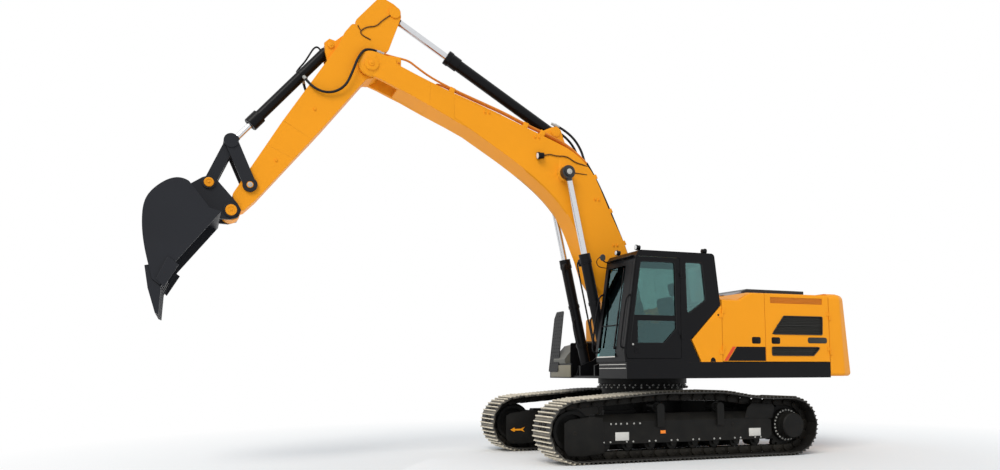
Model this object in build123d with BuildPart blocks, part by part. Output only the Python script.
"""Crawler excavator with a backhoe front, built as an assembly of named pieces.

Millimetres; +X forward, +Y to the cab side, +Z up. The origin lies on the
ground, on the slewing axis. Every piece is drawn where it sits at rest.
"""

import os
from math import cos, hypot, pi, sin

from build123d import *

os.makedirs("parts", exist_ok=True)

# Undercarriage: the sizes everything below the slewing ring hangs on
TUMBLERS = 3890.0       # idler axle to sprocket axle
GAUGE = 2480.0          # track centre to track centre
SHOE_W = 650.0          # shoe width
END_R = 480.0           # wheel axle to grouser tips, and axle height
TRACK_TOP = 1068.0      # grouser tips over the carrier rollers
SHOES = 48              # shoes in one loop
GROUSER = 32.0          # grouser height
SHOE_T = 18.0           # shoe plate thickness
RAIL_H = 118.0          # link rail height under the shoe
CARRIERS = (499.0, -582.0)   # carrier roller stations
RING_R = 765.0          # slewing ring, outside

# Upper structure
HALF_W = 1490.0         # platform half width
SKIRT_LO = 1250.0       # platform underside
SKIRT_HI = 1506.0       # sill top, where doors and cab begin
NOSE_X = 1085.0         # platform front
TAIL_X = -2778.0        # counterweight front face
TAIL_R = 3600.0         # counterweight tail radius
HOOD_Z = 2640.0         # engine deck
CAB_TOP = 3236.0
CAB_IN = 505.0          # cab inner side
PANEL = 36.0            # door panel thickness
GAP = 8.0               # shut line between panels
SEAM_A = -640.0         # front edge of the front service door
SEAM_B = -1470.0        # line between the two service doors
DOOR_X = 118.0          # cab door's hinge edge

# Front attachment: pins in the XZ plane at rest
BOOM_FOOT = (150.0, 1950.0)
BOOM_CYL_FOOT = (860.0, 1400.0)
BOOM_CYL_EYE = (1552.0, 4632.0)
ARM_PIVOT = (4795.0, 6096.0)
ARM_CYL_FOOT = (1657.0, 5370.0)
ARM_CYL_EYE = (4427.0, 6995.0)
BUCKET_CYL_FOOT = (5400.0, 6344.0)
ROCKER_PIN = (6513.0, 4073.0)
LINK_TOP = (6791.0, 4702.0)
LINK_LOW = (7073.0, 4055.0)
BUCKET_PIN = (6762.0, 3675.0)
TOOTH_TIP = (7646.0, 2130.0)
BOOM_W = 500.0          # boom box width
ARM_W = 400.0           # arm box width
TIP_W = 330.0           # arm width at the bucket pin
BUCKET_W = 1480.0       # bucket width
PLATE = 18.0            # boom and arm plates
CYL_Y = 400.0           # boom cylinders, each side of the middle
BARREL_R = 88.0
ROD_R = 52.0
PIN_R = 52.0

HALF = TUMBLERS / 2
MID = GAUGE / 2
RUN = 0.4               # running clearance round a pin
SEAT = 0.3              # seat clearance of a resting or rolling piece
SIDE_IN = HALF_W - PANEL


def side(y):
    """Upright XZ plane at this y."""
    return Plane.XZ.offset(-y)


def toward(a, b, t):
    """Point t millimetres from a toward b."""
    d = hypot(b[0] - a[0], b[1] - a[1])
    return (a[0] + (b[0] - a[0]) * t / d, a[1] + (b[1] - a[1]) * t / d)


def span(a, b):
    return hypot(b[0] - a[0], b[1] - a[1])


def shift(at, dx, dz):
    return (at[0] + dx, at[1] + dz)


def slab(points, y0, y1, mode=Mode.ADD, round_off=0.0):
    """Side outline in XZ, carried from y0 to y1."""
    with BuildSketch(side((y0 + y1) / 2)) as outline:
        with BuildLine():
            Polyline(*points, close=True)
        make_face()
        if round_off:
            fillet(outline.vertices(), round_off)
    extrude(outline.sketch, amount=abs(y1 - y0) / 2, both=True, mode=mode)


def drawn(draw, y0, y1, mode=Mode.ADD):
    """Side outline drawn by a function, carried from y0 to y1."""
    with BuildSketch(side((y0 + y1) / 2)) as outline:
        with BuildLine():
            draw()
        make_face()
    extrude(outline.sketch, amount=abs(y1 - y0) / 2, both=True, mode=mode)


def skin(points, depth):
    """An open run of points moved to its right by depth."""
    moved = []
    for i, here in enumerate(points):
        a = points[max(i - 1, 0)]
        b = points[min(i + 1, len(points) - 1)]
        d = span(a, b)
        moved.append((here[0] + (b[1] - a[1]) * depth / d, here[1] - (b[0] - a[0]) * depth / d))
    return moved


def disc(at, y0, y1, radius, mode=Mode.ADD):
    """Round bar across the machine."""
    with BuildSketch(side((y0 + y1) / 2)) as ring:
        with Locations(at):
            Circle(radius)
    extrude(ring.sketch, amount=abs(y1 - y0) / 2, both=True, mode=mode)


def box(x0, x1, y0, y1, z0, z1, mode=Mode.ADD):
    """Block between two corners."""
    with BuildSketch(Plane.XY.offset(z0)) as foot:
        with Locations(((x0 + x1) / 2, (y0 + y1) / 2)):
            Rectangle(abs(x1 - x0), abs(y1 - y0))
    extrude(foot.sketch, amount=z1 - z0, mode=mode)


def stem(a, b, y, start, stop, radius, mode=Mode.ADD):
    """Round bar along the line from a to b, between two stations on it."""
    p = toward(a, b, start)
    with BuildSketch(Plane(origin=(p[0], y, p[1]), z_dir=(b[0] - a[0], 0, b[1] - a[1]))) as end:
        Circle(radius)
    extrude(end.sketch, amount=stop - start, mode=mode)


def post(x, y, z0, z1, radius, mode=Mode.ADD):
    """Upright round bar."""
    with BuildSketch(Plane.XY.offset(z0)) as foot:
        with Locations((x, y)):
            Circle(radius)
    extrude(foot.sketch, amount=z1 - z0, mode=mode)


KNUCKLE_R = 12.0
HINGE_PIN = 7.0
KNUCKLE_L = 70.0
LEAF = 56.0


def hinge_fixed(x, hand, z, way):
    """Fixed half of an outside door hinge: knuckle, leaf toward way, and the pin."""
    y = hand * (HALF_W + KNUCKLE_R)
    post(x, y, z - KNUCKLE_L, z, KNUCKLE_R - 1)
    box(x, x + way * LEAF, hand * HALF_W, hand * (HALF_W + 9), z - KNUCKLE_L, z)
    post(x, y, z, z + KNUCKLE_L, HINGE_PIN)


def hinge_moving(x, hand, z, way):
    """Moving half: a knuckle round the pin and a leaf the other way."""
    y = hand * (HALF_W + KNUCKLE_R)
    post(x, y, z + SEAT, z + KNUCKLE_L, KNUCKLE_R - 1)
    box(x, x - way * LEAF, hand * HALF_W, hand * (HALF_W + 9), z + SEAT, z + KNUCKLE_L)
    post(x, y, z, z + KNUCKLE_L + 1, HINGE_PIN + RUN, Mode.SUBTRACT)


def keep(part, name):
    part.label = name
    export_step(part, f"parts/{name}.step")


# Track loop: a line through the shoe faces, sampled at every shoe joint
FACE_R = END_R - GROUSER
TOP_Z = TRACK_TOP - GROUSER
with BuildLine() as loop_line:
    Line((-HALF, GROUSER), (HALF, GROUSER))
    ThreePointArc((HALF, GROUSER), (HALF + FACE_R, END_R), (HALF, END_R + FACE_R))
    Line((HALF, END_R + FACE_R), (CARRIERS[0], TOP_Z))
    Line((CARRIERS[0], TOP_Z), (CARRIERS[1], TOP_Z))
    Spline(
        (CARRIERS[1], TOP_Z),
        (CARRIERS[1] - 690, END_R + FACE_R + 12),
        (-HALF, END_R + FACE_R),
        tangents=((-1, -0.05), (-1, 0)),
    )
    ThreePointArc((-HALF, END_R + FACE_R), (-HALF - FACE_R, END_R), (-HALF, GROUSER))
loop_wire = loop_line.wires()[0]
joints = [loop_wire.position_at(i / SHOES) for i in range(SHOES)]
corners = [(p.X, p.Y) for p in joints]
area = sum(a[0] * b[1] - b[0] * a[1] for a, b in zip(corners, corners[1:] + corners[:1]))
if area < 0:
    corners = corners[::-1]


def inward(depth):
    """The loop's corners moved in toward its middle by depth."""
    moved = []
    for i, here in enumerate(corners):
        before = corners[i - 1]
        after = corners[(i + 1) % SHOES]
        d = span(before, after)
        n = (-(after[1] - before[1]) / d, (after[0] - before[0]) / d)
        moved.append((here[0] + n[0] * depth, here[1] + n[1] * depth))
    return moved


def grousers():
    """Outer outline: each shoe is a flat with three low ridges."""
    points = []
    for i, a in enumerate(corners):
        b = corners[(i + 1) % SHOES]
        d = span(a, b)
        t = ((b[0] - a[0]) / d, (b[1] - a[1]) / d)
        points.append(a)
        for share in (0.17, 0.5, 0.83):
            for along, up in ((-18, 0.0), (0, GROUSER), (18, 0.0)):
                s = share * d + along
                points.append((a[0] + t[0] * s + t[1] * up, a[1] + t[1] * s - t[0] * up))
    return points


OUTLINE = grousers()
SHOE_BACK = inward(SHOE_T)
RAIL_BACK = inward(SHOE_T + RAIL_H)
RAIL_IN = 55.0
RAIL_OUT = 108.0
TREAD_R = FACE_R - SHOE_T - RAIL_H - 14.0
NOTCH = 24.0            # depth and half width of the gap between two links


def link_backs():
    """Inner edge of the rails: a flat on each link, a notch at each joint."""
    points = []
    bottoms = inward(SHOE_T + RAIL_H - NOTCH)
    for i, a in enumerate(RAIL_BACK):
        b = RAIL_BACK[(i + 1) % SHOES]
        points.append(bottoms[i])
        points.append(toward(a, b, NOTCH))
        points.append(toward(b, a, NOTCH))
    return points


for hand, name in ((1, "track_left"), (-1, "track_right")):
    with BuildPart() as track:
        yc = hand * MID
        slab(OUTLINE, yc - SHOE_W / 2, yc + SHOE_W / 2)
        slab(SHOE_BACK, yc - SHOE_W / 2, yc + SHOE_W / 2, Mode.SUBTRACT)
        for lane in (-1, 1):
            with BuildSketch(side(yc + lane * (RAIL_IN + RAIL_OUT) / 2)) as rail:
                with BuildLine():
                    Polyline(*inward(SHOE_T / 2), close=True)
                make_face()
                with BuildLine():
                    Polyline(*link_backs(), close=True)
                make_face(mode=Mode.SUBTRACT)
            extrude(rail.sketch, amount=(RAIL_OUT - RAIL_IN) / 2, both=True)
    keep(track.part, name)

# Wheels inside the loop
AXLE_F = (HALF, END_R)
AXLE_R = (-HALF, END_R)
YOKE_IN = 152.0
YOKE_OUT = 192.0

with BuildPart() as idlers:
    for hand in (1, -1):
        yc = hand * MID
        disc(AXLE_F, yc - RAIL_OUT, yc + RAIL_OUT, TREAD_R)
        disc(AXLE_F, yc - RAIL_IN + 12, yc + RAIL_IN - 12, TREAD_R + 42)
        for lane in (-1, 1):
            disc(AXLE_F, yc + lane * 44, yc + lane * (RAIL_OUT + 1), TREAD_R - 52, Mode.SUBTRACT)
        disc(AXLE_F, yc - YOKE_IN, yc + YOKE_IN, 95)
keep(idlers.part, "idlers")

TEETH = 21
TIP_R = FACE_R - SHOE_T - 34.0
ROOT_R = TIP_R - 66.0


def cog():
    points = []
    for i in range(TEETH):
        for share, r in ((-0.36, ROOT_R), (-0.14, TIP_R), (0.14, TIP_R), (0.36, ROOT_R)):
            a = 2 * pi * (i + share) / TEETH
            points.append((AXLE_R[0] + r * cos(a), AXLE_R[1] + r * sin(a)))
    return points


with BuildPart() as sprockets:
    for hand in (1, -1):
        yc = hand * MID
        slab(cog(), yc - RAIL_IN + 14, yc + RAIL_IN - 14)
keep(sprockets.part, "sprockets")

MOTOR_R = 170.0
with BuildPart() as final_drives:
    for hand in (1, -1):
        yc = hand * MID
        face = yc + hand * (RAIL_IN - 14)
        back = yc - hand * (RAIL_IN - 14)
        disc(AXLE_R, face, face + hand * 70, 262)
        disc(AXLE_R, face + hand * 70, face + hand * 150, 218)
        disc(AXLE_R, face + hand * 150, face + hand * 178, 150)
        disc(AXLE_R, back, yc - hand * YOKE_OUT, 235)
        disc(AXLE_R, yc - hand * YOKE_OUT, yc - hand * (YOKE_OUT + 100), MOTOR_R)
keep(final_drives.part, "final_drives")

ROLLER_R = 92.0
RAIL_TOP = GROUSER + SHOE_T + RAIL_H
ROLLER_Z = RAIL_TOP + ROLLER_R + SEAT
ROLLERS = 8
ROLLER_STEP = (TUMBLERS - 1180) / (ROLLERS - 1)
with BuildPart() as track_rollers:
    for hand in (1, -1):
        yc = hand * MID
        for i in range(ROLLERS):
            at = (-HALF + 640 + i * ROLLER_STEP, ROLLER_Z)
            disc(at, yc - RAIL_OUT, yc + RAIL_OUT, ROLLER_R)
            disc(at, yc - YOKE_IN, yc + YOKE_IN, 48)
keep(track_rollers.part, "track_rollers")

CARRIER_R = 74.0
CARRIER_Z = TOP_Z - SHOE_T - RAIL_H - CARRIER_R - 16
with BuildPart() as carrier_rollers:
    for hand in (1, -1):
        yc = hand * MID
        for x in CARRIERS:
            disc((x, CARRIER_Z), yc - RAIL_OUT, yc + RAIL_OUT, CARRIER_R)
            disc((x, CARRIER_Z), yc, yc + hand * YOKE_OUT, 42)
keep(carrier_rollers.part, "carrier_rollers")

# Track frames: a box with side plates down past the rollers
FRAME_TOP = 606.0
FRAME_LOW = 275.0
FRAME_BOX = ROLLER_Z + ROLLER_R + 30
FRAME_NOSE = HALF + 138
FRAME_TAIL = -HALF + 372
IDLER_BAY = HALF - TREAD_R - 90
POST_R = 62.0           # carrier roller posts, half width
for hand, name in ((1, "track_frame_left"), (-1, "track_frame_right")):
    with BuildPart() as track_frame:
        yc = hand * MID
        for lane in (-1, 1):
            slab(
                (
                    (FRAME_TAIL, FRAME_LOW + 60),
                    (FRAME_TAIL + 70, FRAME_LOW),
                    (FRAME_NOSE - 110, FRAME_LOW),
                    (FRAME_NOSE, FRAME_LOW + 80),
                    (FRAME_NOSE, FRAME_TOP - 70),
                    (FRAME_NOSE - 140, FRAME_TOP),
                    (FRAME_TAIL + 70, FRAME_TOP),
                    (FRAME_TAIL, FRAME_TOP - 40),
                ),
                yc + lane * YOKE_IN,
                yc + lane * YOKE_OUT,
            )
        box(-HALF + TIP_R + 30, IDLER_BAY, yc - YOKE_IN, yc + YOKE_IN, FRAME_BOX, FRAME_TOP)
        with BuildSketch(Plane.YZ.offset(-HALF + TIP_R + 30)) as roof:
            with BuildLine():
                Polyline(
                    (yc - YOKE_OUT, FRAME_TOP),
                    (yc + YOKE_OUT, FRAME_TOP),
                    (yc + 70, FRAME_TOP + 110),
                    (yc - 70, FRAME_TOP + 110),
                    close=True,
                )
            make_face()
        extrude(roof.sketch, amount=IDLER_BAY + HALF - TIP_R - 30)
        outer = yc + hand * YOKE_OUT
        for x in CARRIERS:
            box(x - POST_R, x + POST_R, outer, outer + hand * 44, FRAME_TOP - 90, CARRIER_Z)
            disc((x, CARRIER_Z), outer, outer + hand * 44, POST_R)
        motor = yc - hand * YOKE_OUT
        slab(
            (
                (FRAME_TAIL + 260, FRAME_LOW + 60),
                (FRAME_TAIL + 260, FRAME_TOP - 10),
                (-HALF + 60, END_R + MOTOR_R + 66),
                (-HALF - 150, END_R + MOTOR_R + 20),
                (-HALF - MOTOR_R - 45, END_R + 90),
                (-HALF - MOTOR_R - 45, END_R - 90),
                (-HALF - 150, END_R - MOTOR_R - 20),
                (-HALF + 60, END_R - MOTOR_R - 35),
            ),
            motor,
            motor - hand * 58,
        )
        disc(AXLE_R, motor - hand * 70, motor + hand * 10, MOTOR_R + RUN, Mode.SUBTRACT)
    keep(track_frame.part, name)

# Car body: drum under the ring and four legs to the track frames
RING_LOW = 1078.0
RING_SPLIT = 1158.0
CAR_LO = 560.0
CAR_HI = 880.0
LEG_Y = MID - YOKE_OUT - 58
TOW_X = 860.0
TOW_Z = CAR_LO - 20
TOW_T = 60.0
TOW_R = 32.0
with BuildPart() as car_body:
    for hand in (1, -1):
        for end in (1, -1):
            with BuildSketch(Plane.XY.offset(CAR_LO)) as leg:
                with BuildLine():
                    Polyline(
                        (end * 60, hand * 420),
                        (end * 520, hand * 200),
                        (end * 760, hand * 420),
                        (end * 1240, hand * LEG_Y),
                        (end * 720, hand * LEG_Y),
                        close=True,
                    )
                make_face()
            extrude(leg.sketch, amount=CAR_HI - CAR_LO)
            box(
                end * 700, end * 1260, hand * LEG_Y, hand * (LEG_Y + 58),
                CAR_LO - 60, CAR_HI - 120,
            )
    post(0, 0, CAR_LO - 40, CAR_HI, 760)
    post(0, 0, CAR_HI, RING_LOW, 690)
    post(0, 0, CAR_LO - 40, RING_LOW, 330, Mode.SUBTRACT)
    for end in (1, -1):
        box(end * 700, end * (TOW_X + 80), -80, 80, TOW_Z, TOW_Z + TOW_T)
        post(end * TOW_X, 0, TOW_Z - 1, TOW_Z + TOW_T + 1, TOW_R, Mode.SUBTRACT)
keep(car_body.part, "car_body")

with BuildPart() as slew_ring_lower:
    post(0, 0, RING_LOW, RING_LOW + 40, RING_R)
    post(0, 0, RING_LOW + 40, RING_SPLIT, RING_R - 36)
    post(0, 0, RING_LOW, RING_SPLIT, RING_R - 150, Mode.SUBTRACT)
keep(slew_ring_lower.part, "slew_ring_lower")

with BuildPart() as slew_ring_upper:
    post(0, 0, RING_SPLIT + SEAT, SKIRT_LO, RING_R - 12)
    post(0, 0, RING_SPLIT + SEAT, SKIRT_LO, RING_R - 150, Mode.SUBTRACT)
keep(slew_ring_upper.part, "slew_ring_upper")

# Revolving frame: deck, two boom girders, cylinder lugs
DECK_T = 40.0
DECK_Z = SKIRT_LO + DECK_T
GIRDER_IN = BOOM_W / 2 + 12
GIRDER_OUT = GIRDER_IN + 40
LUG_IN = CYL_Y + BARREL_R + 6
EYE_W = 110.0
with BuildPart() as revolving_frame:
    box(TAIL_X, NOSE_X - 30, -SIDE_IN, SIDE_IN, SKIRT_LO, DECK_Z)
    for hand in (1, -1):
        slab(
            (
                (TAIL_X, DECK_Z),
                (NOSE_X - 40, DECK_Z),
                (NOSE_X - 40, BOOM_CYL_FOOT[1] + 60),
                (BOOM_CYL_FOOT[0] - 60, BOOM_CYL_FOOT[1] + 150),
                (BOOM_FOOT[0] + 190, BOOM_FOOT[1] - 20),
                (BOOM_FOOT[0] + 110, BOOM_FOOT[1] + 170),
                (BOOM_FOOT[0] - 110, BOOM_FOOT[1] + 170),
                (BOOM_FOOT[0] - 210, BOOM_FOOT[1]),
                (BOOM_FOOT[0] - 760, DECK_Z + 240),
                (TAIL_X, DECK_Z + 240),
            ),
            hand * GIRDER_IN,
            hand * GIRDER_OUT,
        )
        slab(
            (
                (BOOM_CYL_FOOT[0] - 190, DECK_Z),
                (BOOM_CYL_FOOT[0] + 150, DECK_Z),
                (BOOM_CYL_FOOT[0] + 100, BOOM_CYL_FOOT[1] + 60),
                (BOOM_CYL_FOOT[0], BOOM_CYL_FOOT[1] + 96),
                (BOOM_CYL_FOOT[0] - 100, BOOM_CYL_FOOT[1] + 60),
            ),
            hand * LUG_IN,
            hand * (LUG_IN + 40),
        )
        disc(BOOM_CYL_FOOT, hand * GIRDER_OUT, hand * LUG_IN, PIN_R)
    disc(BOOM_FOOT, -GIRDER_OUT, GIRDER_OUT, PIN_R)
    for hand in (1, -1):
        disc(BOOM_FOOT, hand * GIRDER_OUT, hand * (GIRDER_OUT + 26), 90)
keep(revolving_frame.part, "revolving_frame")

with BuildPart() as side_sills:
    for hand in (1, -1):
        box(TAIL_X + GAP, NOSE_X, hand * SIDE_IN, hand * HALF_W, SKIRT_LO, SKIRT_HI)
        box(
            NOSE_X - 30, NOSE_X, hand * (CAB_IN + 40), hand * SIDE_IN,
            SKIRT_LO, SKIRT_HI,
        )
keep(side_sills.part, "side_sills")

# Counterweight: a casting with the tail's sweep in plan, leaning in toward its rounded top
TAIL_D = TAIL_R + TAIL_X
TAIL_LEAN = 190.0
TAIL_TOP = HOOD_Z + 26
TAIL_LOW = SKIRT_LO + 24


def tail_plan(reach):
    """Half-hexagon with an arc at its rear, as far behind the front face as reach."""
    turn = TAIL_X - reach * 0.66
    with BuildLine() as rim:
        ThreePointArc((turn, HALF_W - 130), (TAIL_X - reach, 0), (turn, 130 - HALF_W))
        Polyline(
            (turn, 130 - HALF_W),
            (TAIL_X - reach * 0.36, -HALF_W),
            (TAIL_X, -HALF_W),
            (TAIL_X, HALF_W),
            (TAIL_X - reach * 0.36, HALF_W),
            (turn, HALF_W - 130),
        )
    return rim.edges()


with BuildPart() as counterweight:
    for level, reach in ((TAIL_LOW, TAIL_D), (TAIL_TOP, TAIL_D - TAIL_LEAN)):
        with BuildSketch(Plane.XY.offset(level)) as plan:
            make_face(tail_plan(reach))
            fillet(plan.vertices().filter_by(lambda v: v.X < TAIL_X - 1), 130)
    loft()
    crown = counterweight.edges().group_by(Axis.Z)[-1]
    fillet(crown.filter_by(lambda e: e.center().X < TAIL_X - 1), 110)
    sole = counterweight.edges().group_by(Axis.Z)[0]
    fillet(sole.filter_by(lambda e: e.center().X < TAIL_X - 1), 60)
    for hand in (1, -1):
        for z in (SKIRT_HI + 190, HOOD_Z - 360):
            hinge_fixed(TAIL_X + GAP / 2, hand, z, -1)
keep(counterweight.part, "counterweight")

with BuildPart() as engine:
    box(TAIL_X + 420, SEAM_B + 240, -520, 520, DECK_Z + 240, HOOD_Z - 420)
keep(engine.part, "engine")

# Engine housing: deck over the engine with its rounded shoulders, and bulkhead
HOOD_F = -1245.0
HOOD_R = TAIL_X + 67
LID_Y = 960.0
HOOD_PIN = (HOOD_F + 14, HOOD_Z + 15)
FRONT_Z = HOOD_Z - 130
with BuildPart() as engine_housing:
    with BuildSketch(Plane.YZ.offset(SEAM_A)) as roof:
        with BuildLine():
            Polyline(
                (-SIDE_IN + GAP, FRONT_Z - 30),
                (SIDE_IN - GAP, FRONT_Z - 30),
                (SIDE_IN - GAP, HOOD_Z - 30),
                (SIDE_IN - 70, HOOD_Z),
                (-SIDE_IN + 70, HOOD_Z),
                (-SIDE_IN + GAP, HOOD_Z - 30),
                close=True,
            )
        make_face()
    extrude(roof.sketch, amount=TAIL_X + GAP - SEAM_A)
    slab(
        (
            (SEAM_A + 1, HOOD_Z + 1),
            (SEAM_A + 1, FRONT_Z),
            (SEAM_A - 330, FRONT_Z),
            (HOOD_F + 40, HOOD_Z + 1),
        ),
        -HALF_W,
        HALF_W,
        Mode.SUBTRACT,
    )
    box(HOOD_F - 20, TAIL_X, -SIDE_IN, SIDE_IN - 60, FRONT_Z - 40, HOOD_Z - 36, Mode.SUBTRACT)
    box(HOOD_F - 60, HOOD_R + 60, -LID_Y + 60, LID_Y - 60, FRONT_Z, HOOD_Z + 1, Mode.SUBTRACT)
    box(SEAM_A, SEAM_A - 24, -SIDE_IN + GAP, SIDE_IN - GAP, DECK_Z + 240, FRONT_Z - 20)
    box(SEAM_B - 14, SEAM_B + 14, SIDE_IN - 60, SIDE_IN - GAP, DECK_Z, HOOD_Z - 34)
    box(TAIL_X + GAP, TAIL_X + GAP + 24, SIDE_IN - 60, SIDE_IN - GAP, DECK_Z, HOOD_Z - 34)
    box(
        TAIL_X + GAP, TAIL_X + GAP + 24, -SIDE_IN + GAP, -SIDE_IN + 60,
        DECK_Z, HOOD_Z - 34,
    )
    for hand in (1, -1):
        box(HOOD_PIN[0] - 12, HOOD_PIN[0] + 12, hand * 540, hand * 600, HOOD_Z, HOOD_PIN[1] + 10)
        disc(HOOD_PIN, hand * 600, hand * 680, HINGE_PIN)
keep(engine_housing.part, "engine_housing")

with BuildPart() as engine_hood:
    slab(
        (
            (HOOD_F, HOOD_Z + 6),
            (HOOD_F - 278, HOOD_Z + 112),
            (HOOD_R, HOOD_Z + 106),
            (HOOD_R, HOOD_Z + 6),
        ),
        -LID_Y,
        LID_Y,
    )
    ridges = engine_hood.edges().filter_by(lambda e: abs(e.center().Y) > LID_Y - 1)
    fillet(ridges.filter_by(lambda e: e.center().Z > HOOD_Z + 20), 24)
    slab(
        (
            (HOOD_F - 60, HOOD_Z + 5),
            (HOOD_F - 290, HOOD_Z + 92),
            (HOOD_R + 20, HOOD_Z + 86),
            (HOOD_R + 20, HOOD_Z + 5),
        ),
        -LID_Y + 20,
        LID_Y - 20,
        Mode.SUBTRACT,
    )
    for hand in (1, -1):
        disc(HOOD_PIN, hand * (600 + SEAT), hand * 680, KNUCKLE_R)
        box(
            HOOD_F - 30, HOOD_PIN[0], hand * (600 + SEAT), hand * 680,
            HOOD_Z + 6, HOOD_Z + 15,
        )
        disc(HOOD_PIN, hand * 600, hand * 681, HINGE_PIN + RUN, Mode.SUBTRACT)
keep(engine_hood.part, "engine_hood")

# Service doors on the cab side, each a flat panel with a folded top edge
DOOR_LO = SKIRT_HI + GAP
HINGES = (SKIRT_HI + 190, FRONT_Z - 230)
TAIL_HINGE = TAIL_X + GAP / 2
BROW_R = PANEL * 0.7    # folded top edge of the panels
with BuildPart() as front_service_door:
    slab(
        (
            (SEAM_A - GAP / 2, DOOR_LO),
            (SEAM_B + GAP / 2, DOOR_LO),
            (SEAM_B + GAP / 2, HOOD_Z - 8),
            (HOOD_F + 40, HOOD_Z - 8),
            (SEAM_A - 330, FRONT_Z - 8),
            (SEAM_A - GAP / 2, FRONT_Z - 8),
        ),
        SIDE_IN,
        HALF_W,
    )
    brow = front_service_door.edges().filter_by(lambda e: e.center().Y > HALF_W - 1)
    fillet(brow.filter_by(lambda e: e.center().Z > FRONT_Z - 20), BROW_R)
    for z in HINGES:
        hinge_moving(SEAM_A, 1, z, 1)
keep(front_service_door.part, "front_service_door")

GRILLE_A = (
    (SEAM_B - 371, 2263), (TAIL_X + 146, 2263), (TAIL_X + 160, 1962), (SEAM_B - 129, 1962),
)
GRILLE_B = (
    (SEAM_B - 121, 1752), (TAIL_X + 202, 1752), (TAIL_X + 353, 1614), (SEAM_B - 121, 1614),
)
with BuildPart() as rear_service_door:
    slab(
        (
            (SEAM_B - GAP / 2, DOOR_LO),
            (TAIL_X + GAP * 1.5, DOOR_LO),
            (TAIL_X + GAP * 1.5, HOOD_Z - 8),
            (SEAM_B - GAP / 2, HOOD_Z - 8),
        ),
        SIDE_IN,
        HALF_W,
    )
    fillet(rear_service_door.edges().group_by(Axis.Z)[-1].group_by(Axis.Y)[-1], BROW_R)
    for hole in (GRILLE_A, GRILLE_B):
        slab(hole, SIDE_IN - 1, HALF_W + 1, Mode.SUBTRACT)
    box(
        TAIL_X + 137, SEAM_B - 113, HALF_W - 14, HALF_W + 1, 2470, 2570, Mode.SUBTRACT
    )
    for z in HINGES:
        hinge_moving(TAIL_HINGE, 1, z, -1)
keep(rear_service_door.part, "rear_service_door")

SLAT_STEP = 25.0


def across(hole, z):
    """Front and rear x of a level cut through a four-sided opening."""
    t = (z - hole[3][1]) / (hole[0][1] - hole[3][1])
    front = hole[3][0] + t * (hole[0][0] - hole[3][0])
    rear = hole[2][0] + t * (hole[1][0] - hole[2][0])
    return front, rear


with BuildPart() as door_grilles:
    for hole in (GRILLE_A, GRILLE_B):
        slab(hole, HALF_W - 26, HALF_W - 20)
        rows = int((hole[0][1] - hole[3][1] - 12) / SLAT_STEP)
        for i in range(rows):
            z = hole[3][1] + (i + 0.5) * (hole[0][1] - hole[3][1]) / rows
            front = min(across(hole, z - 9)[0], across(hole, z + 9)[0]) - 2
            rear = max(across(hole, z - 9)[1], across(hole, z + 9)[1]) + 2
            with BuildSketch(Plane.YZ.offset(rear)) as slat:
                with BuildLine():
                    Polyline(
                        (HALF_W - 21, z + 9), (HALF_W - 5, z - 3),
                        (HALF_W - 5, z - 8), (HALF_W - 21, z + 3), close=True,
                    )
                make_face()
            extrude(slat.sketch, amount=front - rear)
    box(TAIL_X + 137, SEAM_B - 113, HALF_W - 14, HALF_W - 8, 2470, 2570)
    for i in range(4):
        z = 2482 + i * 22
        box(TAIL_X + 145, SEAM_B - 121, HALF_W - 9, HALF_W - 3, z, z + 10)
keep(door_grilles.part, "door_grilles")

# Yellow corner panel between cab and front service door
CAB_REAR = -615.0
CAB_REAR_TOP = -520.0
ELBOW = (-50.0, SKIRT_HI + 346)
WAIST = SKIRT_HI + 907
HEEL = (-215.0, SKIRT_HI)
with BuildPart() as corner_panel:
    slab(
        (
            (SEAM_A + GAP / 2, SKIRT_HI),
            (HEEL[0] - 20, SKIRT_HI),
            (HEEL[0] - 20, SKIRT_HI + 20),
            (ELBOW[0] - 24, ELBOW[1]),
            (CAB_REAR - 10, WAIST - 11),
            (SEAM_A + GAP / 2, WAIST - 11),
        ),
        SIDE_IN,
        HALF_W,
    )
    for z in HINGES:
        hinge_fixed(SEAM_A, 1, z, 1)
keep(corner_panel.part, "corner_panel")

# Right side: tanks, pump door, tool box
TANK_IN = -560.0
TANK_F = 350.0
TANK_SPLIT = -190.0
with BuildPart() as fuel_tank:
    box(TANK_F, TANK_SPLIT + 6, TANK_IN, -HALF_W + 4, DECK_Z, 2330)
    fillet(fuel_tank.edges().filter_by(Axis.X).group_by(Axis.Z)[-1], 60)
    box(TANK_F, TANK_SPLIT + 6, -SIDE_IN, -HALF_W, SKIRT_LO, SKIRT_HI + 4, Mode.SUBTRACT)
    post(TANK_F - 260, -1120, 2330, 2372, 70)
keep(fuel_tank.part, "fuel_tank")

with BuildPart() as hydraulic_tank:
    box(TANK_SPLIT - 6, SEAM_A + 20, TANK_IN, -HALF_W + 4, DECK_Z, 2430)
    box(TANK_SPLIT - 6, SEAM_A + 20, -SIDE_IN, -HALF_W, SKIRT_LO, SKIRT_HI + 4, Mode.SUBTRACT)
    fillet(hydraulic_tank.edges().filter_by(Axis.X).group_by(Axis.Z)[-1], 60)
    post((TANK_SPLIT + SEAM_A) / 2, -1000, 2430, 2470, 62)
keep(hydraulic_tank.part, "hydraulic_tank")

with BuildPart() as pump_door:
    slab(
        (
            (SEAM_B + GAP / 2, DOOR_LO),
            (TAIL_X + GAP * 1.5, DOOR_LO),
            (TAIL_X + GAP * 1.5, HOOD_Z - 8),
            (SEAM_B + GAP / 2, HOOD_Z - 8),
        ),
        -HALF_W,
        -SIDE_IN,
    )
    fillet(pump_door.edges().group_by(Axis.Z)[-1].group_by(Axis.Y)[0], BROW_R)
    for z in HINGES:
        hinge_moving(TAIL_HINGE, -1, z, -1)
keep(pump_door.part, "pump_door")

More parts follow.
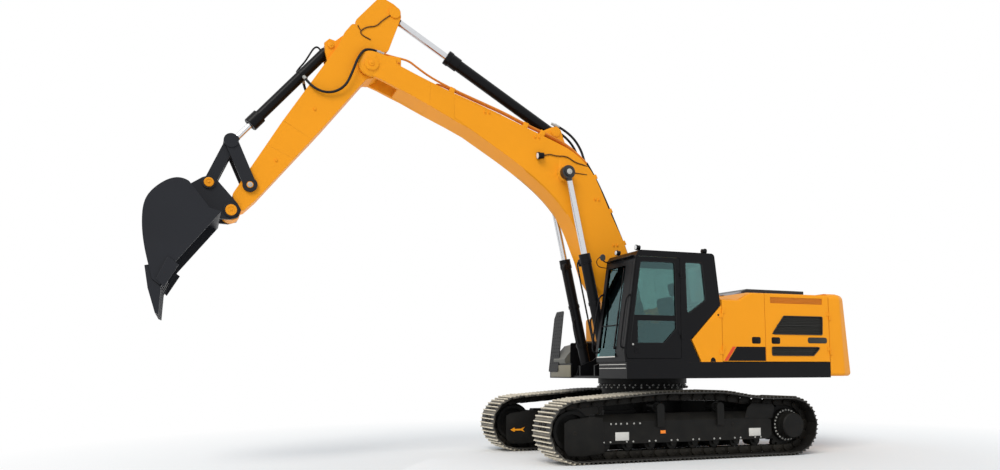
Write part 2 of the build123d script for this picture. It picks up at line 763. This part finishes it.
with BuildPart() as right_panel:
    slab(
        (
            (SEAM_A - GAP / 2, SKIRT_HI),
            (SEAM_B + GAP * 1.5, SKIRT_HI),
            (SEAM_B + GAP * 1.5, HOOD_Z - 8),
            (HOOD_F + 40, HOOD_Z - 8),
            (SEAM_A - 330, FRONT_Z - 8),
            (SEAM_A - GAP / 2, FRONT_Z - 8),
        ),
        -HALF_W,
        -SIDE_IN,
    )
    brow = right_panel.edges().filter_by(lambda e: e.center().Y < 1 - HALF_W)
    fillet(brow.filter_by(lambda e: e.center().Z > FRONT_Z - 20), BROW_R)
keep(right_panel.part, "right_panel")

BOX_TOP = 1892.0
BOX_OUT = -HALF_W + 200
BOX_IN = TANK_IN - 240
LID_PIN = (TANK_F + 14, BOX_TOP + 12)
LID_HINGES = (BOX_OUT + 120, BOX_IN - 120)
with BuildPart() as tool_box:
    slab(
        (
            (TANK_F + 8, SKIRT_HI),
            (NOSE_X, SKIRT_HI),
            (NOSE_X + 16, SKIRT_HI + 70),
            (NOSE_X - 40, BOX_TOP - 240),
            (NOSE_X - 200, BOX_TOP - 70),
            (NOSE_X - 400, BOX_TOP - 16),
            (TANK_F + 8, BOX_TOP - 16),
        ),
        BOX_OUT,
        BOX_IN,
    )
    for y in LID_HINGES:
        box(LID_PIN[0] - 5, LID_PIN[0] + 12, y - 40, y, BOX_TOP - 16, LID_PIN[1] + 8)
        disc(LID_PIN, y, y + 50, HINGE_PIN)
keep(tool_box.part, "tool_box")

with BuildPart() as tool_box_lid:
    box(LID_PIN[0] + 16, NOSE_X - 420, BOX_OUT, BOX_IN, BOX_TOP - 16 + SEAT, BOX_TOP + 8)
    for y in LID_HINGES:
        disc(LID_PIN, y + SEAT, y + 50, KNUCKLE_R)
        box(LID_PIN[0], LID_PIN[0] + 60, y + SEAT, y + 50, BOX_TOP + 2, BOX_TOP + 14)
        disc(LID_PIN, y, y + 51, HINGE_PIN + RUN, Mode.SUBTRACT)
keep(tool_box_lid.part, "tool_box_lid")

with BuildPart() as step_guard:
    slab(
        (
            (NOSE_X + 18, SKIRT_LO + 140),
            (NOSE_X + 42, SKIRT_LO + 140),
            (NOSE_X - 78, SKIRT_LO + 1150),
            (NOSE_X - 108, SKIRT_LO + 1193),
            (NOSE_X - 134, SKIRT_LO + 1193),
            (NOSE_X - 96, SKIRT_LO + 1130),
        ),
        -HALF_W + 10,
        -HALF_W + 190,
    )
    box(NOSE_X, NOSE_X + 20, -HALF_W + 40, -HALF_W + 160, SKIRT_LO + 140, SKIRT_LO + 250)
    with BuildSketch(Plane.YZ.offset(NOSE_X - 160)) as perforation:
        with Locations((-HALF_W + 100, SKIRT_LO + 690)):
            with GridLocations(88, 92, 2, 9):
                Circle(21)
    extrude(perforation.sketch, amount=240, mode=Mode.SUBTRACT)
keep(step_guard.part, "step_guard")

# Cab: side outline hollowed out, then every opening cut
WALL = 56.0
CAB_LO = SKIRT_HI
FRONT_LO = (1128.0, CAB_LO + 154)
FRONT_HI = (900.0, CAB_TOP - 86)
CAB_OUT = (
    (HEEL[0], CAB_LO),
    (FRONT_LO[0] - 20, CAB_LO),
    FRONT_LO,
    FRONT_HI,
    (FRONT_HI[0] - 60, CAB_TOP),
    (CAB_REAR_TOP, CAB_TOP),
    (CAB_REAR, WAIST),
    ELBOW,
)
CAB_ROOM = (
    (HEEL[0] + 74, CAB_LO + WALL),
    (FRONT_LO[0] - WALL - 18, CAB_LO + WALL),
    (FRONT_LO[0] - WALL, FRONT_LO[1]),
    (FRONT_HI[0] - WALL, FRONT_HI[1] - 16),
    (FRONT_HI[0] - WALL - 40, CAB_TOP - WALL),
    (CAB_REAR_TOP + WALL, CAB_TOP - WALL),
    (CAB_REAR + WALL + 4, WAIST + 17),
    (ELBOW[0] + 68, ELBOW[1] + 14),
)
CAB_HINGES = (CAB_LO + 424, CAB_TOP - 336)
DOOR_TOP = CAB_TOP - 96
DOOR_HOLE = (
    (DOOR_X, CAB_LO + 44),
    (1082, CAB_LO + 44),
    (1104, CAB_LO + 156),
    (896, DOOR_TOP - 50),
    (858, DOOR_TOP),
    (DOOR_X, DOOR_TOP),
)
LIGHT_TOP = CAB_TOP - 158
QUARTER = ((24, LIGHT_TOP), (-290, LIGHT_TOP - 2), (-348, WAIST + 73), (8, WAIST - 174))
BLIND_LIGHT = (
    (1030, CAB_LO + 394),
    (850, LIGHT_TOP + 12),
    (-430, LIGHT_TOP + 12),
    (-500, WAIST + 67),
    (60, CAB_LO + 454),
)


def back(z):
    """Rear face of the cab above the waist, at this height."""
    return CAB_REAR + (CAB_REAR_TOP - CAB_REAR) * (z - WAIST) / (CAB_TOP - WAIST)


REAR_LIGHT = (WAIST + 87, CAB_TOP - 156)
ROOF_R = 64.0           # rounded folds of the cab roof
LIGHT_R = 46.0          # window corners
DOOR_R = 22.0           # door corners
with BuildPart() as cab_frame:
    slab(CAB_OUT, CAB_IN, HALF_W)
    folds = cab_frame.edges().filter_by(Axis.Y)
    fillet(folds.filter_by(lambda e: e.center().Z > WAIST - 1), ROOF_R)
    slab(CAB_ROOM, CAB_IN + WALL, HALF_W - WALL, Mode.SUBTRACT)
    slab(DOOR_HOLE, HALF_W - WALL - 1, HALF_W + 1, Mode.SUBTRACT, DOOR_R + GAP)
    slab(QUARTER, HALF_W - WALL - 1, HALF_W + 1, Mode.SUBTRACT, LIGHT_R)
    slab(BLIND_LIGHT, CAB_IN - 1, CAB_IN + WALL + 1, Mode.SUBTRACT, LIGHT_R)
    slab(
        (
            (FRONT_LO[0] + 40, CAB_LO + 210),
            (FRONT_HI[0] + 40, FRONT_HI[1] - 40),
            (FRONT_HI[0] - 160, FRONT_HI[1] - 40),
            (FRONT_LO[0] - 160, CAB_LO + 210),
        ),
        CAB_IN + WALL + 10,
        HALF_W - WALL - 34,
        Mode.SUBTRACT,
    )
    box(
        CAB_REAR - 40, CAB_REAR + 230, CAB_IN + 110, HALF_W - 110,
        REAR_LIGHT[0], REAR_LIGHT[1], Mode.SUBTRACT,
    )
    for z in CAB_HINGES:
        hinge_fixed(DOOR_X, 1, z, -1)
keep(cab_frame.part, "cab_frame")


def lean(z):
    """Front face of the cab at this height."""
    t = (z - FRONT_LO[1]) / (FRONT_HI[1] - FRONT_LO[1])
    return FRONT_LO[0] + t * (FRONT_HI[0] - FRONT_LO[0])


GLASS = 8.0
SCREEN_LO = CAB_LO + 210
SCREEN_HI = FRONT_HI[1] - 40
with BuildPart() as cab_glass:
    slab(
        (
            (lean(SCREEN_LO) - 20, SCREEN_LO),
            (lean(SCREEN_HI) - 20, SCREEN_HI),
            (lean(SCREEN_HI) - 20 - GLASS, SCREEN_HI),
            (lean(SCREEN_LO) - 20 - GLASS, SCREEN_LO),
        ),
        CAB_IN + WALL + 10,
        HALF_W - WALL - 34,
    )
    slab(QUARTER, HALF_W - 22, HALF_W - 22 + GLASS, Mode.ADD, LIGHT_R)
    slab(BLIND_LIGHT, CAB_IN + 14, CAB_IN + 14 + GLASS, Mode.ADD, LIGHT_R)
    slab(
        (
            (back(REAR_LIGHT[0]) + 11, REAR_LIGHT[0]),
            (back(REAR_LIGHT[1]) + 11, REAR_LIGHT[1]),
            (back(REAR_LIGHT[1]) + 11 + GLASS, REAR_LIGHT[1]),
            (back(REAR_LIGHT[0]) + 11 + GLASS, REAR_LIGHT[0]),
        ),
        CAB_IN + 110,
        HALF_W - 110,
    )
keep(cab_glass.part, "cab_glass")

DOOR_IN = HALF_W - 46
DOOR_RIM = (
    (DOOR_X + GAP, CAB_LO + 44 + GAP),
    (1082 - GAP, CAB_LO + 44 + GAP),
    (1104 - GAP, CAB_LO + 156),
    (896 - GAP, DOOR_TOP - 53),
    (858 - 4, DOOR_TOP - GAP),
    (DOOR_X + GAP, DOOR_TOP - GAP),
)
DOOR_LIGHT = (
    (824, DOOR_TOP - 80), (DOOR_X + 94, DOOR_TOP - 74), (DOOR_X + 88, CAB_LO + 510),
    (428, CAB_LO + 290), (1018, CAB_LO + 284),
)
BAR_Z = CAB_LO + 634    # rail across the door window
DOOR_FOOT = 884.0       # kick panel ahead of the lower pane
with BuildPart() as cab_door:
    slab(DOOR_RIM, DOOR_IN, HALF_W, Mode.ADD, DOOR_R)
    slab(DOOR_LIGHT, DOOR_IN - 1, HALF_W + 1, Mode.SUBTRACT, LIGHT_R)
    slab(
        ((DOOR_X + 60, BAR_Z), (1000, BAR_Z), (996, BAR_Z + 84), (DOOR_X + 60, BAR_Z + 84)),
        HALF_W - 24 + GLASS,
        HALF_W - 3,
    )
    slab(
        ((DOOR_FOOT, CAB_LO + 270), (1030, CAB_LO + 270), (1000, BAR_Z + 10), (DOOR_FOOT, BAR_Z + 10)),
        HALF_W - 24 + GLASS,
        HALF_W - 5,
    )
    for z in CAB_HINGES:
        hinge_moving(DOOR_X, 1, z, -1)
keep(cab_door.part, "cab_door")

with BuildPart() as cab_door_glass:
    slab(DOOR_LIGHT, HALF_W - 24, HALF_W - 24 + GLASS, Mode.ADD, LIGHT_R)
keep(cab_door_glass.part, "cab_door_glass")

FLOOR_Z = CAB_LO + WALL
SEAT_Y = (CAB_IN + HALF_W) / 2
with BuildPart() as seat:
    box(160, 500, SEAT_Y - 170, SEAT_Y + 170, FLOOR_Z, FLOOR_Z + 270)
    slab(
        (
            (100, FLOOR_Z + 270), (620, FLOOR_Z + 270), (630, FLOOR_Z + 380),
            (210, FLOOR_Z + 380), (20, FLOOR_Z + 1010), (-80, FLOOR_Z + 1000),
        ),
        SEAT_Y - 240,
        SEAT_Y + 240,
    )
    slab(
        (
            (10, FLOOR_Z + 1009), (-50, FLOOR_Z + 1240),
            (-120, FLOOR_Z + 1230), (-80, FLOOR_Z + 1000),
        ),
        SEAT_Y - 130,
        SEAT_Y + 130,
    )
keep(seat.part, "seat")

with BuildPart() as consoles:
    for hand in (1, -1):
        y0 = SEAT_Y + hand * 262
        y1 = SEAT_Y + hand * 375
        box(60, 640, y0, y1, FLOOR_Z + 300, FLOOR_Z + 520)
        box(200, 380, y0, y1, FLOOR_Z, FLOOR_Z + 300)
        post(580, (y0 + y1) / 2, FLOOR_Z + 520, FLOOR_Z + 700, 20)
    box(700, 780, SEAT_Y - 90, SEAT_Y + 90, FLOOR_Z, FLOOR_Z + 60)
    for hand in (1, -1):
        box(790, 860, SEAT_Y + hand * 30, SEAT_Y + hand * 110, FLOOR_Z, FLOOR_Z + 130)
        post(760, SEAT_Y + hand * 60, FLOOR_Z + 60, FLOOR_Z + 560, 14)
keep(consoles.part, "consoles")

LAMP_R = 44.0
with BuildPart() as cab_lamps:
    for y in (HALF_W - 160, CAB_IN + 160):
        for x, way in ((770, 1), (-420, -1)):
            at = (x, CAB_TOP + LAMP_R + 12)
            post(x, y, CAB_TOP, at[1], 14)
            stem(at, shift(at, way, 0), y, -26, 22, LAMP_R - 8)
            stem(at, shift(at, way, 0), y, 22, 46, LAMP_R)
keep(cab_lamps.part, "cab_lamps")

# Boom: gooseneck box of welded plates
BOOM_HEEL = (-46, 2010)
BOOM_TOE = (330, 1880)
BOOM_BACK = (
    (399, 3414), (627, 3900), (831, 4331), (1020, 4690), (1240, 4930), (1600, 5130),
)
BOOM_CREST = ((2690, 5536), (3201, 5787), (4380, 6208))
BOOM_CHIN = (4252, 5862)
BOOM_BELLY = ((2690, 4937), (2208, 4628), (1750, 4262), (1418, 3850), (1154, 3243))
BOOM_SHIN = ((1055, 2937), (937, 2755))
ROOM_END = 3840.0


def boom_side():
    """Straight root, bent knuckle, straight upper run, as one closed line."""
    Line(BOOM_HEEL, BOOM_BACK[0])
    Spline(*BOOM_BACK, tangents=((445, 1404), (1090, 406)))
    Polyline(BOOM_BACK[-1], *BOOM_CREST, BOOM_CHIN, BOOM_BELLY[0])
    Spline(*BOOM_BELLY, tangents=((-1562, -925), (-132, -303)))
    Polyline(BOOM_BELLY[-1], *BOOM_SHIN, BOOM_TOE, BOOM_HEEL)


def boom_room():
    """The hollow between the plates, short of the foot and the fork."""
    back = skin(BOOM_BACK, PLATE * 1.5)
    belly = skin(BOOM_BELLY, PLATE * 1.5)
    crest = skin((BOOM_BACK[-1], *BOOM_CREST), PLATE * 1.5)
    shin = skin((BOOM_BELLY[-1], *BOOM_SHIN), PLATE * 1.5)
    Line((210, 2330), back[0])
    Spline(*back, tangents=((445, 1404), (1090, 406)))
    Polyline(back[-1], crest[1], crest[2], (ROOM_END, 5990), (ROOM_END, 5640), belly[0])
    Spline(*belly, tangents=((-1562, -925), (-132, -303)))
    Polyline(belly[-1], shin[1], shin[2], (560, 2330), (210, 2330))


FOOT_HALF = GIRDER_IN - 7
FORK_X = ARM_PIVOT[0] - 905
TIP_IN = ARM_W / 2 + 8
TIP_OUT = BOOM_W / 2 + 28
EAR_IN = BARREL_R + 20
EAR_OUT = EAR_IN + 42
with BuildPart() as boom:
    drawn(boom_side, -BOOM_W / 2, BOOM_W / 2)
    drawn(boom_room, PLATE - BOOM_W / 2, BOOM_W / 2 - PLATE, Mode.SUBTRACT)
    disc(BOOM_FOOT, -FOOT_HALF, FOOT_HALF, 205)
    disc(BOOM_CYL_EYE, -CYL_Y + EYE_W / 2 + 12, CYL_Y - EYE_W / 2 - 12, 130)
    for hand in (1, -1):
        slab(
            (
                (ROOM_END + 20, 5640), (ROOM_END + 20, 6020), BOOM_CREST[-1],
                shift(ARM_PIVOT, -60, 196), shift(ARM_PIVOT, -40, -196), BOOM_CHIN,
            ),
            hand * TIP_IN,
            hand * TIP_OUT,
        )
        disc(ARM_PIVOT, hand * TIP_IN, hand * TIP_OUT, 200)
        slab(
            (
                (1330, 4962), (1480, 5180), shift(ARM_CYL_FOOT, -96, 40),
                shift(ARM_CYL_FOOT, -20, 100), shift(ARM_CYL_FOOT, 80, 70),
                (2020, 5300), (2020, 5270),
            ),
            hand * EAR_IN,
            hand * EAR_OUT,
        )
    slab(
        ((FORK_X, 5300), (FORK_X, 6400), (5200, 6700), (5200, 5300)),
        -TIP_IN,
        TIP_IN,
        Mode.SUBTRACT,
    )
    disc(BOOM_FOOT, -FOOT_HALF - 1, FOOT_HALF + 1, PIN_R + RUN, Mode.SUBTRACT)
    disc(ARM_CYL_FOOT, -EAR_OUT, EAR_OUT, PIN_R)
    disc(ARM_PIVOT, -TIP_OUT - 24, TIP_OUT + 24, PIN_R + 8)
    for hand in (1, -1):
        disc(ARM_PIVOT, hand * TIP_OUT, hand * (TIP_OUT + 24), 110)
        disc(ARM_CYL_FOOT, hand * EAR_OUT, hand * (EAR_OUT + 16), 84)
keep(boom.part, "boom")

PIPE_R = 17.0
PIPE_BEND = 200.0
PIPE_RUN = skin((BOOM_BACK[-1], *BOOM_CREST[:2], toward(*BOOM_CREST[1:], 900)), -PIPE_R - 0.6)
PIPE_SHORT = toward(PIPE_RUN[2], PIPE_RUN[3], 560)


def pipe(points, y):
    """Steel pipe laid along the boom's crest."""
    with BuildLine(side(y)) as route:
        FilletPolyline(*points, radius=PIPE_BEND)
    with BuildSketch(Plane(origin=route.line @ 0, z_dir=route.line % 0)) as bore:
        Circle(PIPE_R)
    sweep(bore.sketch, path=route.line)


with BuildPart() as boom_pipes:
    for hand in (1, -1):
        pipe(PIPE_RUN, hand * (BOOM_W / 2 - PIPE_R - 4))
        pipe((PIPE_RUN[1], PIPE_RUN[2], PIPE_SHORT), hand * (BOOM_W / 2 - 90))
keep(boom_pipes.part, "boom_pipes")

BOOM_LIGHT = (1990, 4895)
with BuildPart() as boom_lamp:
    box(1960, 2000, BOOM_W / 2, BOOM_W / 2 + 60, BOOM_LIGHT[1] - 34, BOOM_LIGHT[1] + 34)
    stem(BOOM_LIGHT, shift(BOOM_LIGHT, 1, -0.1), BOOM_W / 2 + 62, -44, 26, 50)
    stem(BOOM_LIGHT, shift(BOOM_LIGHT, 1, -0.1), BOOM_W / 2 + 62, 26, 60, 60)
keep(boom_lamp.part, "boom_lamp")

# Cylinders: barrel with its foot eye, rod with its own eye and pin
BOOM_LEN = span(BOOM_CYL_FOOT, BOOM_CYL_EYE)
BOOM_HEAD = 1930.0
with BuildPart() as boom_barrels:
    for hand in (1, -1):
        y = hand * CYL_Y
        stem(BOOM_CYL_FOOT, BOOM_CYL_EYE, y, 70, BOOM_HEAD - 130, BARREL_R)
        stem(BOOM_CYL_FOOT, BOOM_CYL_EYE, y, BOOM_HEAD - 130, BOOM_HEAD, BARREL_R + 8)
        disc(BOOM_CYL_FOOT, y - EYE_W / 2, y + EYE_W / 2, 105)
        stem(BOOM_CYL_FOOT, BOOM_CYL_EYE, y, 260, BOOM_HEAD + 1, ROD_R + RUN, Mode.SUBTRACT)
        disc(BOOM_CYL_FOOT, y - EYE_W, y + EYE_W, PIN_R + RUN, Mode.SUBTRACT)
keep(boom_barrels.part, "boom_barrels")

with BuildPart() as boom_rods:
    for hand in (1, -1):
        y = hand * CYL_Y
        stem(BOOM_CYL_FOOT, BOOM_CYL_EYE, y, BOOM_LEN - 1760, BOOM_LEN - 80, ROD_R)
        disc(BOOM_CYL_EYE, y - EYE_W / 2, y + EYE_W / 2, 112)
        disc(BOOM_CYL_EYE, y + hand * EYE_W / 2, y + hand * (EYE_W / 2 + 22), 74)
keep(boom_rods.part, "boom_rods")

ARM_LEN = span(ARM_CYL_FOOT, ARM_CYL_EYE)
ARM_HEAD = 2130.0
ARM_EYE = EAR_IN - 8
ROD_EYE = 70.0
with BuildPart() as arm_barrel:
    stem(ARM_CYL_FOOT, ARM_CYL_EYE, 0, 80, ARM_HEAD - 150, BARREL_R + 8)
    stem(ARM_CYL_FOOT, ARM_CYL_EYE, 0, ARM_HEAD - 150, ARM_HEAD, BARREL_R + 18)
    disc(ARM_CYL_FOOT, -ARM_EYE, ARM_EYE, 96)
    stem(ARM_CYL_FOOT, ARM_CYL_EYE, 0, 240, ARM_HEAD + 1, ROD_R + 4 + RUN, Mode.SUBTRACT)
    disc(ARM_CYL_FOOT, -ARM_EYE - 1, ARM_EYE + 1, PIN_R + RUN, Mode.SUBTRACT)
keep(arm_barrel.part, "arm_barrel")

with BuildPart() as arm_rod:
    stem(ARM_CYL_FOOT, ARM_CYL_EYE, 0, ARM_LEN - 2050, ARM_LEN - 90, ROD_R + 4)
    disc(ARM_CYL_EYE, -ROD_EYE, ROD_EYE, 112)
keep(arm_rod.part, "arm_rod")

# Arm: box with two long ears behind the pivot
A_BOX = (
    (4620, 6010), (4600, 6280), (4700, 6480), (5070, 6740), (5200, 6560), (5310, 6300),
    (5385, 6190), (6105, 5034), (6752, 3920), (6640, 3640), (6425, 3862), (5467, 5064),
    (4860, 5860), (4744, 5896),
)
A_ROOM = (
    (4900, 6250), (5062, 6700), (5180, 6548), (5290, 6290), (5366, 6180),
    (6000, 5160), (5600, 4950), (5490, 5085), (4960, 5800),
)
A_TIP_ROOM = ((5820, 4700), (6170, 4870), (6660, 4010), (6560, 3870), (6450, 3870))
A_TIP = ((5480, 4820), (5560, 4780), (6180, 5140), (6260, 5200), (7200, 4300), (7000, 3300), (6000, 3300))
A_EAR = (
    (4560, 6240), (4322, 6930), (4340, 7050), (4440, 7130), (4600, 7200), (4680, 7200),
    (5070, 6740), (4700, 6400),
)
with BuildPart() as arm:
    slab(A_BOX, -ARM_W / 2, ARM_W / 2, Mode.ADD, 60)
    slab(A_ROOM, PLATE - ARM_W / 2, ARM_W / 2 - PLATE, Mode.SUBTRACT)
    slab(A_TIP_ROOM, PLATE - TIP_W / 2, TIP_W / 2 - PLATE, Mode.SUBTRACT)
    for hand in (1, -1):
        slab(A_EAR, hand * (EAR_IN + 30), hand * ARM_W / 2, Mode.ADD, 90)
        slab(
            (
                (5150, 6590), shift(BUCKET_CYL_FOOT, -70, 80), shift(BUCKET_CYL_FOOT, 20, 104),
                shift(BUCKET_CYL_FOOT, 96, 30), shift(BUCKET_CYL_FOOT, 80, -110), (5440, 6080),
                (5330, 6200), (5200, 6480),
            ),
            hand * EAR_IN,
            hand * EAR_OUT,
        )
        slab(
            A_TIP,
            hand * TIP_W / 2,
            hand * (ARM_W / 2 + 1),
            Mode.SUBTRACT,
        )
        disc(ARM_CYL_EYE, hand * ARM_W / 2, hand * (ARM_W / 2 + 20), 92)
    disc(BUCKET_PIN, -TIP_W / 2, TIP_W / 2, 132)
    disc(ARM_PIVOT, -ARM_W / 2, ARM_W / 2, 200)
    disc(ARM_PIVOT, -ARM_W, ARM_W, PIN_R + 8 + RUN, Mode.SUBTRACT)
    disc(BUCKET_PIN, -TIP_W, TIP_W, PIN_R + RUN, Mode.SUBTRACT)
    disc(BUCKET_CYL_FOOT, -EAR_OUT - 14, EAR_OUT + 14, PIN_R)
    disc(ROCKER_PIN, -TIP_W / 2 - 48, TIP_W / 2 + 48, PIN_R - 4)
keep(arm.part, "arm")

BUCKET_LEN = span(BUCKET_CYL_FOOT, LINK_TOP)
BUCKET_HEAD = 1740.0
B_EYE = 54.0
with BuildPart() as bucket_barrel:
    stem(BUCKET_CYL_FOOT, LINK_TOP, 0, 80, BUCKET_HEAD - 120, BARREL_R - 6)
    stem(BUCKET_CYL_FOOT, LINK_TOP, 0, BUCKET_HEAD - 120, BUCKET_HEAD, BARREL_R + 2)
    disc(BUCKET_CYL_FOOT, -ARM_EYE, ARM_EYE, 84)
    stem(BUCKET_CYL_FOOT, LINK_TOP, 0, 220, BUCKET_HEAD + 1, ROD_R - 6 + RUN, Mode.SUBTRACT)
    disc(BUCKET_CYL_FOOT, -ARM_EYE - 1, ARM_EYE + 1, PIN_R + RUN, Mode.SUBTRACT)
keep(bucket_barrel.part, "bucket_barrel")

with BuildPart() as bucket_rod:
    stem(BUCKET_CYL_FOOT, LINK_TOP, 0, BUCKET_LEN - 1550, BUCKET_LEN - 80, ROD_R - 6)
    disc(LINK_TOP, -B_EYE, B_EYE, 104)
keep(bucket_rod.part, "bucket_rod")

# Bucket linkage: rocker plates outside, H-link between them
ROCK_IN = TIP_W / 2 + 8
ROCK_OUT = ROCK_IN + 36
LINK_OUT = ROCK_IN - 10
FORK_IN = B_EYE + 12


def strap(a, b, wide_a, wide_b):
    """Tapered bar outline between two pins."""
    u = ((b[0] - a[0]) / span(a, b), (b[1] - a[1]) / span(a, b))
    n = (-u[1], u[0])
    return (
        (a[0] + n[0] * wide_a, a[1] + n[1] * wide_a),
        (a[0] - n[0] * wide_a, a[1] - n[1] * wide_a),
        (b[0] - n[0] * wide_b, b[1] - n[1] * wide_b),
        (b[0] + n[0] * wide_b, b[1] + n[1] * wide_b),
    )


with BuildPart() as rocker:
    for hand in (1, -1):
        slab(strap(ROCKER_PIN, LINK_TOP, 88, 92), hand * ROCK_IN, hand * ROCK_OUT)
        disc(ROCKER_PIN, hand * ROCK_IN, hand * ROCK_OUT, 104)
        disc(LINK_TOP, hand * ROCK_IN, hand * (ROCK_OUT + 18), 104)
        disc(LINK_TOP, hand * (FORK_IN + 2), hand * ROCK_IN, PIN_R - 6)
        disc(ROCKER_PIN, hand * (ROCK_IN - 1), hand * (ROCK_OUT + 1), PIN_R - 4 + RUN, Mode.SUBTRACT)
keep(rocker.part, "rocker")

with BuildPart() as bucket_link:
    for hand in (1, -1):
        slab(strap(LINK_TOP, LINK_LOW, 80, 80), hand * FORK_IN, hand * LINK_OUT)
        disc(LINK_TOP, hand * FORK_IN, hand * LINK_OUT, 98)
        disc(LINK_TOP, hand * FORK_IN, hand * LINK_OUT, PIN_R - 6 + RUN, Mode.SUBTRACT)
    disc(LINK_LOW, -LINK_OUT, LINK_OUT, 96)
    slab(
        strap(toward(LINK_TOP, LINK_LOW, 380), LINK_LOW, 70, 70), -FORK_IN, FORK_IN
    )
keep(bucket_link.part, "bucket_link")

# Bucket: wrapper between two side plates, ears over the arm tip
BACK = (
    (7330, 3950), (7486, 3988), (7700, 3880), (7856, 3678), (7893, 3439), (7817, 2883), (7740, 2600),
)
LIP = (7640, 2520)
BROW = (6905, 3560)
WRAP = 46.0             # wrapper thickness at the back


def bucket_side():
    """Curved back from the top plate to the lip, then the straight mouth."""
    Spline(*BACK)
    Polyline(BACK[-1], LIP, (7454, 2850), BROW, shift(BROW, 155, 40), BACK[0])


def bucket_room():
    """The hollow, open at the mouth."""
    inner = skin(BACK, WRAP)
    Spline(*inner)
    Polyline(
        inner[-1], shift(LIP, -80, -120), (7300, 2700), shift(BROW, -65, -60),
        shift(BROW, 177, 10), inner[0],
    )


BUCKET_HALF = BUCKET_W / 2
SHEEK = 30.0
EARS_IN = ROCK_IN + 2
EARS_OUT = EARS_IN + 60
with BuildPart() as bucket:
    drawn(bucket_side, -BUCKET_HALF, BUCKET_HALF)
    drawn(bucket_room, SHEEK - BUCKET_HALF, BUCKET_HALF - SHEEK, Mode.SUBTRACT)
    for hand in (1, -1):
        slab(
            (
                shift(BUCKET_PIN, -96, -96), shift(BUCKET_PIN, -136, 10),
                shift(BUCKET_PIN, -80, 110), shift(LINK_LOW, -96, 60),
                shift(LINK_LOW, -20, 112), shift(LINK_LOW, 90, 70),
                (7360, 3990), (7470, 3960), (7300, 3890), (7060, 3585), (6900, 3545),
                shift(BUCKET_PIN, 20, -134),
            ),
            hand * EARS_IN,
            hand * EARS_OUT,
        )
        disc(BUCKET_PIN, hand * EARS_OUT, hand * (EARS_OUT + 26), 104)
        disc(LINK_LOW, hand * EARS_OUT, hand * (EARS_OUT + 26), 92)
        slab(
            ((7418, 2800), (7560, 2900), (7690, 2600), (7590, 2500)),
            hand * BUCKET_HALF,
            hand * (BUCKET_HALF + 26),
        )
    disc(BUCKET_PIN, -EARS_IN - 1, EARS_IN + 1, PIN_R)
keep(bucket.part, "bucket")

with BuildPart() as bucket_teeth:
    for i in range(5):
        y = (i - 2) * (BUCKET_W - 150) / 4
        slab(
            (
                (7560, 2650), (7628, 2500), TOOTH_TIP, (7690, 2150),
                (7790, 2480), (7840, 2780), (7790, 2790), (7730, 2585), (7640, 2505),
            ),
            y - 55,
            y + 55,
        )
    drawn(bucket_side, -BUCKET_HALF, BUCKET_HALF, Mode.SUBTRACT)
keep(bucket_teeth.part, "bucket_teeth")
